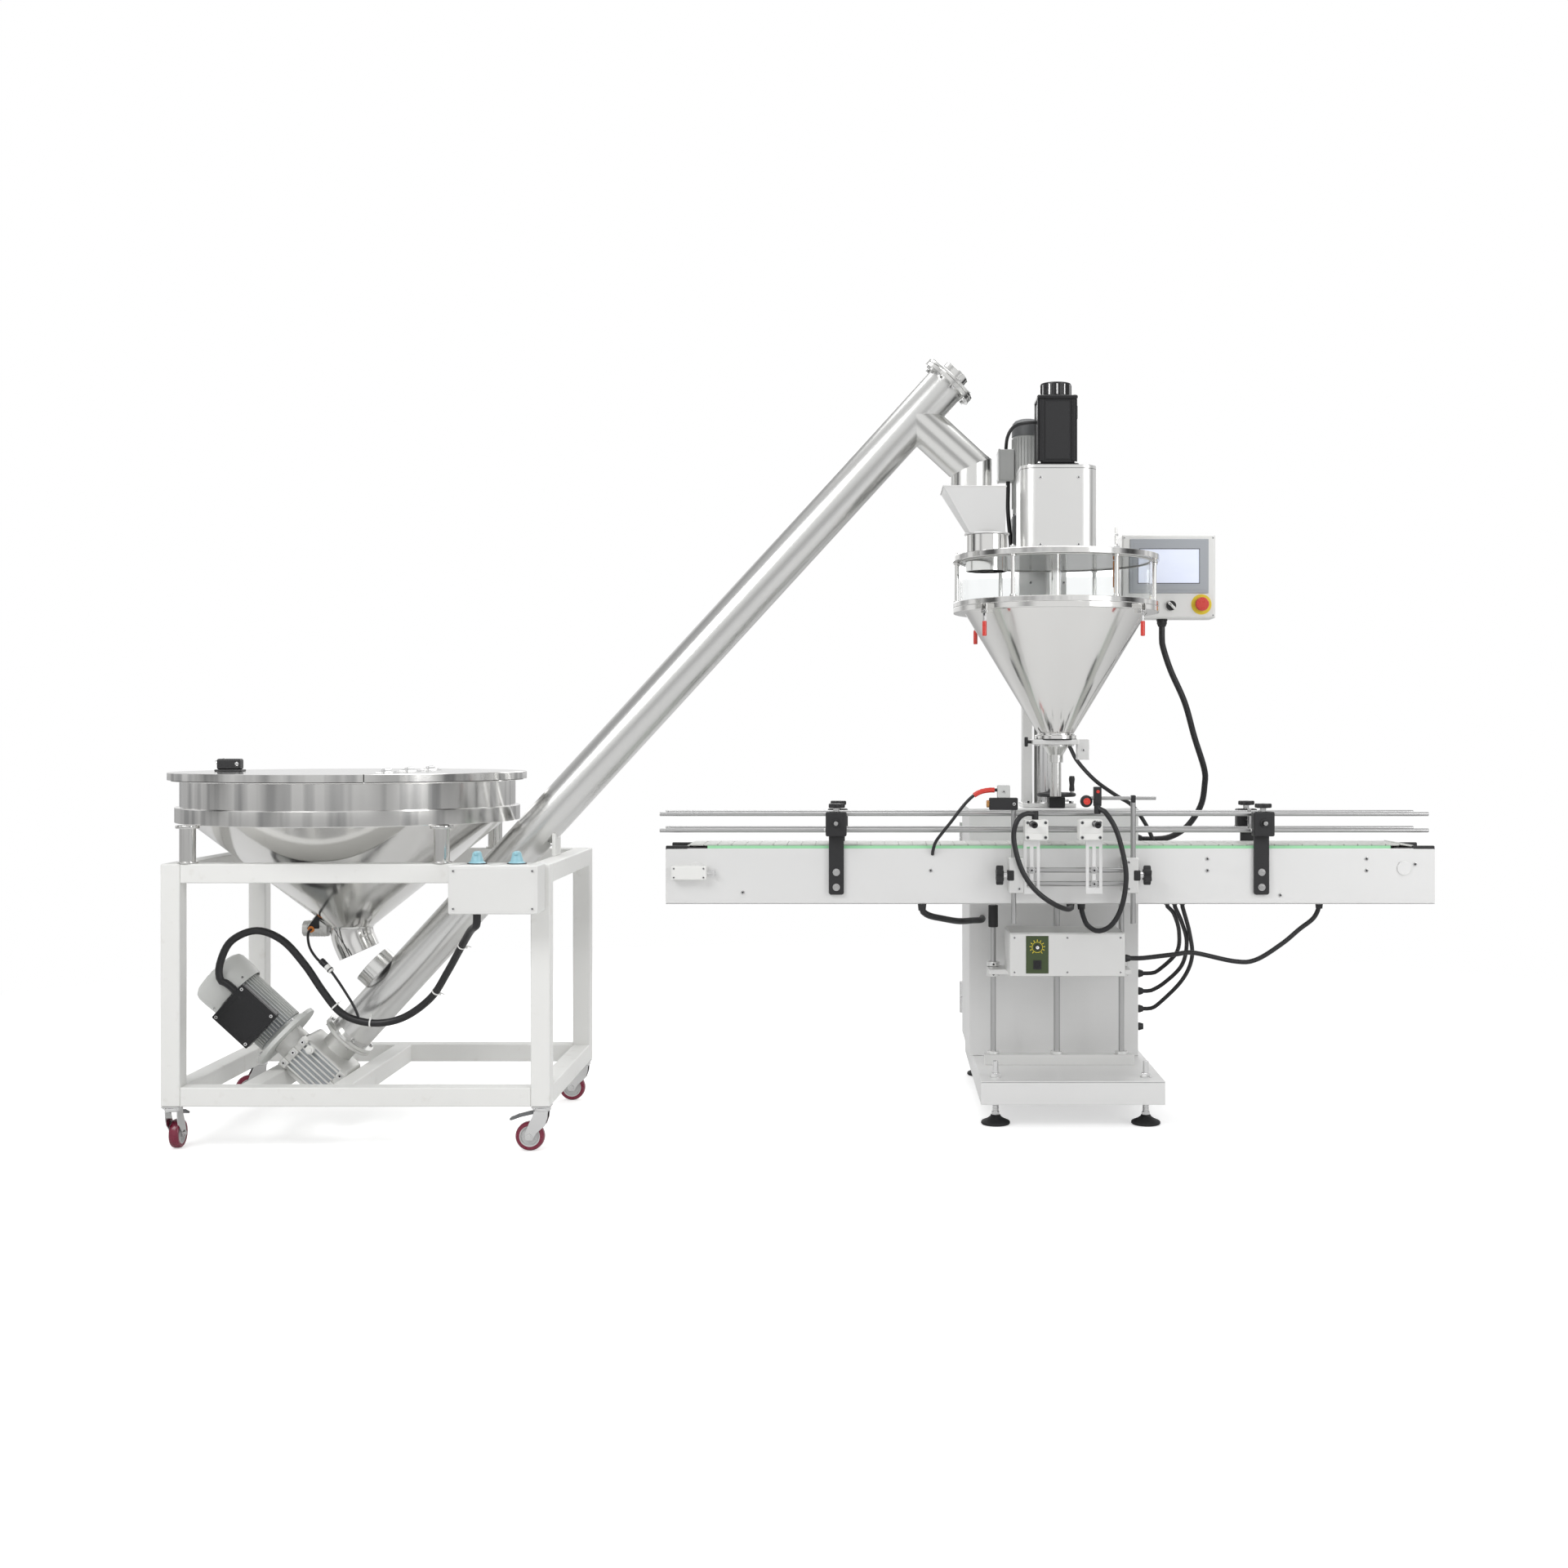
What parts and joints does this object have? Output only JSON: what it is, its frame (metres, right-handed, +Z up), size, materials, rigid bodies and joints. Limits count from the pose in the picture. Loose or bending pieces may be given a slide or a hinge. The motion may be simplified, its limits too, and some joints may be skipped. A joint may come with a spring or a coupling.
{
  "type": "auger powder filler",
  "caption": "Vertical auger filling head over a slat belt with guide rails, gate and shaker, fed by an inclined screw feeder with a round hopper on a castor cart.",
  "frame": {"origin": "floor point below the middle of the whole line's outline", "axes": "+X along the line, from the feeder to the belt's far end; +Y towards the back; +Z up"},
  "size_m": [3.4545, 1.2555, 2.1105],
  "materials": {
    "frame_paint": "satin off-white paint",
    "polished_steel": "mirror polished stainless steel",
    "satin_steel": "satin stainless steel",
    "bright_chrome": "bright plate",
    "cast_aluminium": "fine cast finish",
    "grey_motor": "grey paint",
    "black_metal": "matt black",
    "black_plastic": "fine grain",
    "castor_tyre": "burgundy polyurethane",
    "red_plastic": "gloss",
    "blue_boot": "translucent pale blue boot",
    "clear_window": "clear acrylic",
    "screen_bezel": "grey bezel round a lit screen",
    "slat_plastic": "pale grey moulded slats",
    "cable_sheath": "black sheath"
  },
  "bodies": {
    "machine": {"cart_frame": "frame_paint", "feed_hopper": "polished_steel", "hopper_vibrator": "cast_aluminium", "hopper_lid": "polished_steel", "screw_tube": "satin_steel", "tube_end_cap": "satin_steel", "feeder_gearbox": "cast_aluminium", "feeder_motor": "cast_aluminium", "terminal_box": "black_plastic", "motor_fan_cowl": "cast_aluminium", "feeder_switch_box": "satin_steel", "base_tray": "satin_steel", "cabinet": "satin_steel", "head_column": "bright_chrome", "panel_box": "satin_steel", "touch_screen": "screen_bezel", "conveyor_frame": "satin_steel", "slat_chain": "slat_plastic", "gate_stand": "satin_steel", "shaker_box": "satin_steel", "feeder_motor_cable": "cable_sheath", "panel_cable": "cable_sheath", "shaker_cable": "cable_sheath"},
    "filler_head": {"head_carriage": "satin_steel", "hopper_top_plate": "polished_steel", "hopper_window": "clear_window", "inlet_funnel": "satin_steel", "hopper_cone": "polished_steel", "nozzle_tube": "satin_steel", "drive_housing": "satin_steel", "servo_motor": "black_metal", "agitator_motor": "grey_motor"},
    "hopper_lid_flap": {"hopper_lid_flap": "polished_steel"},
    "feed_screw": {"feed_screw": "satin_steel"},
    "feeder_switch_left": {"feeder_switch_left": "blue_boot"},
    "feeder_switch_right": {"feeder_switch_right": "blue_boot"},
    "cabinet_door": {"cabinet_door": "satin_steel"},
    "handwheel": {"handwheel": "black_metal"},
    "filling_auger": {"filling_auger": "polished_steel"},
    "agitator": {"agitator": "polished_steel"},
    "selector_switch": {"selector_switch": "black_plastic"},
    "emergency_stop": {"emergency_stop": "red_plastic"},
    "idler_roller": {"idler_roller": "satin_steel"},
    "drive_roller": {"drive_roller": "satin_steel"},
    "front_rails": {"front_rails": "bright_chrome"},
    "rear_rails": {"rear_rails": "bright_chrome"},
    "gate_pin_left": {"gate_pin_left": "satin_steel"},
    "gate_pin_right": {"gate_pin_right": "satin_steel"},
    "castor_fork_front_left": {"castor_fork_front_left": "bright_chrome"},
    "castor_wheel_front_left": {"castor_wheel_front_left": "castor_tyre"},
    "clamp_lever_front_left": {"clamp_lever_front_left": "bright_chrome"},
    "castor_fork_front_right": {"castor_fork_front_right": "bright_chrome"},
    "castor_wheel_front_right": {"castor_wheel_front_right": "castor_tyre"},
    "clamp_lever_front_right": {"clamp_lever_front_right": "bright_chrome"},
    "castor_fork_rear_left": {"castor_fork_rear_left": "bright_chrome"},
    "castor_wheel_rear_left": {"castor_wheel_rear_left": "castor_tyre"},
    "clamp_lever_rear_left": {"clamp_lever_rear_left": "bright_chrome"},
    "castor_fork_rear_right": {"castor_fork_rear_right": "bright_chrome"},
    "castor_wheel_rear_right": {"castor_wheel_rear_right": "castor_tyre"},
    "clamp_lever_rear_right": {"clamp_lever_rear_right": "bright_chrome"}
  },
  "joints": [
    {"name": "castor_swivel_front_left", "type": "hinge", "parent": "machine", "child": "castor_fork_front_left", "pos_m": [-1.617, -0.48, 0.09], "axis": [0, 0, 1], "continuous": true},
    {"name": "castor_roll_front_left", "type": "hinge", "parent": "castor_fork_front_left", "child": "castor_wheel_front_left", "pos_m": [-1.617, -0.45, 0.0375], "axis": [-1, 0, 0], "continuous": true},
    {"name": "castor_swivel_front_right", "type": "hinge", "parent": "machine", "child": "castor_fork_front_right", "pos_m": [-0.667, -0.48, 0.09], "axis": [0, 0, 1], "continuous": true},
    {"name": "castor_roll_front_right", "type": "hinge", "parent": "castor_fork_front_right", "child": "castor_wheel_front_right", "pos_m": [-0.697, -0.48, 0.0375], "axis": [0, -1, 0], "continuous": true},
    {"name": "castor_swivel_rear_left", "type": "hinge", "parent": "machine", "child": "castor_fork_rear_left", "pos_m": [-1.617, 0.17, 0.09], "axis": [0, 0, 1], "continuous": true},
    {"name": "castor_roll_rear_left", "type": "hinge", "parent": "castor_fork_rear_left", "child": "castor_wheel_rear_left", "pos_m": [-1.64419, 0.15732, 0.0375], "axis": [0.4226, -0.9063, 0], "continuous": true},
    {"name": "castor_swivel_rear_right", "type": "hinge", "parent": "machine", "child": "castor_fork_rear_right", "pos_m": [-0.667, 0.17, 0.09], "axis": [0, 0, 1], "continuous": true},
    {"name": "castor_roll_rear_right", "type": "hinge", "parent": "castor_fork_rear_right", "child": "castor_wheel_rear_right", "pos_m": [-0.697, 0.17, 0.0375], "axis": [0, -1, 0], "continuous": true},
    {"name": "lid_flap_hinge", "type": "hinge", "parent": "machine", "child": "hopper_lid_flap", "pos_m": [-1.0925, -0.155, 0.9776], "axis": [0, 1, 0], "range_deg": [0, 110]},
    {"name": "feed_screw_turn", "type": "hinge", "parent": "machine", "child": "feed_screw", "pos_m": [-0.5545, -0.155, 1.0104], "axis": [0.6756, 0, 0.7373], "continuous": true},
    {"name": "feeder_switch_left_turn", "type": "hinge", "parent": "machine", "child": "feeder_switch_left", "pos_m": [-0.81775, -0.5553, 0.743], "axis": [0, 0, 1], "range_deg": [0, 60]},
    {"name": "feeder_switch_right_turn", "type": "hinge", "parent": "machine", "child": "feeder_switch_right", "pos_m": [-0.71675, -0.5553, 0.743], "axis": [0, 0, 1], "range_deg": [0, 60]},
    {"name": "cabinet_door_hinge", "type": "hinge", "parent": "machine", "child": "cabinet_door", "pos_m": [0.4705, 0.6128, 0.5], "axis": [0, 0, 1], "range_deg": [0, 120]},
    {"name": "head_lift", "type": "slide", "parent": "machine", "child": "filler_head", "axis": [0, 0, 1], "range_m": [-0.05, 0.015]},
    {"name": "handwheel_turn", "type": "hinge", "parent": "machine", "child": "handwheel", "pos_m": [0.7325, 0.232, 0.895], "axis": [0, 0, 1], "range_deg": [-1801, 541]},
    {"name": "clamp_lever_front_left_hinge", "type": "hinge", "parent": "filler_head", "child": "clamp_lever_front_left", "pos_m": [0.4867, -0.3143, 1.402], "axis": [-0.7071, 0.7071, 0], "range_deg": [0, 110]},
    {"name": "clamp_lever_front_right_hinge", "type": "hinge", "parent": "filler_head", "child": "clamp_lever_front_right", "pos_m": [0.9053, -0.3143, 1.402], "axis": [-0.7071, -0.7071, 0], "range_deg": [0, 110]},
    {"name": "clamp_lever_rear_left_hinge", "type": "hinge", "parent": "filler_head", "child": "clamp_lever_rear_left", "pos_m": [0.4867, 0.1043, 1.402], "axis": [0.7071, 0.7071, 0], "range_deg": [0, 110]},
    {"name": "clamp_lever_rear_right_hinge", "type": "hinge", "parent": "filler_head", "child": "clamp_lever_rear_right", "pos_m": [0.8211, 0.16327, 1.402], "axis": [0.9063, -0.4226, 0], "range_deg": [0, 110]},
    {"name": "filling_auger_turn", "type": "hinge", "parent": "filler_head", "child": "filling_auger", "pos_m": [0.696, -0.105, 1], "axis": [0, 0, 1], "continuous": true},
    {"name": "agitator_turn", "type": "hinge", "parent": "filler_head", "child": "agitator", "pos_m": [0.696, -0.105, 1.3], "axis": [0, 0, 1], "continuous": true},
    {"name": "selector_turn", "type": "hinge", "parent": "machine", "child": "selector_switch", "pos_m": [1.0511, 0.097, 1.447], "axis": [0, 1, 0], "range_deg": [0, 60]},
    {"name": "emergency_stop_press", "type": "slide", "parent": "machine", "child": "emergency_stop", "axis": [0, 1, 0], "range_m": [0, 0.006], "stiffness_N_per_m": 400},
    {"name": "idler_roller_turn", "type": "hinge", "parent": "machine", "child": "idler_roller", "pos_m": [-0.2965, -0.105, 0.7062], "axis": [0, 1, 0], "continuous": true},
    {"name": "drive_roller_turn", "type": "hinge", "parent": "machine", "child": "drive_roller", "pos_m": [1.642, -0.105, 0.7062], "axis": [0, 1, 0], "continuous": true},
    {"name": "front_rails_reach", "type": "slide", "parent": "machine", "child": "front_rails", "axis": [0, 1, 0], "range_m": [-0.007, 0.012]},
    {"name": "rear_rails_reach", "type": "slide", "parent": "machine", "child": "rear_rails", "axis": [0, 1, 0], "range_m": [-0.012, 0.007]},
    {"name": "gate_pin_left_reach", "type": "slide", "parent": "machine", "child": "gate_pin_left", "axis": [0, 1, 0], "range_m": [0, 0.04]},
    {"name": "gate_pin_right_reach", "type": "slide", "parent": "machine", "child": "gate_pin_right", "axis": [0, 1, 0], "range_m": [0, 0.04]}
  ],
  "couplings": [
    {"joint": "handwheel_turn", "follows": "head_lift", "rad_per_m": 628.32},
    {"joint": "drive_roller_turn", "follows": "idler_roller_turn", "ratio": 1}
  ]
}
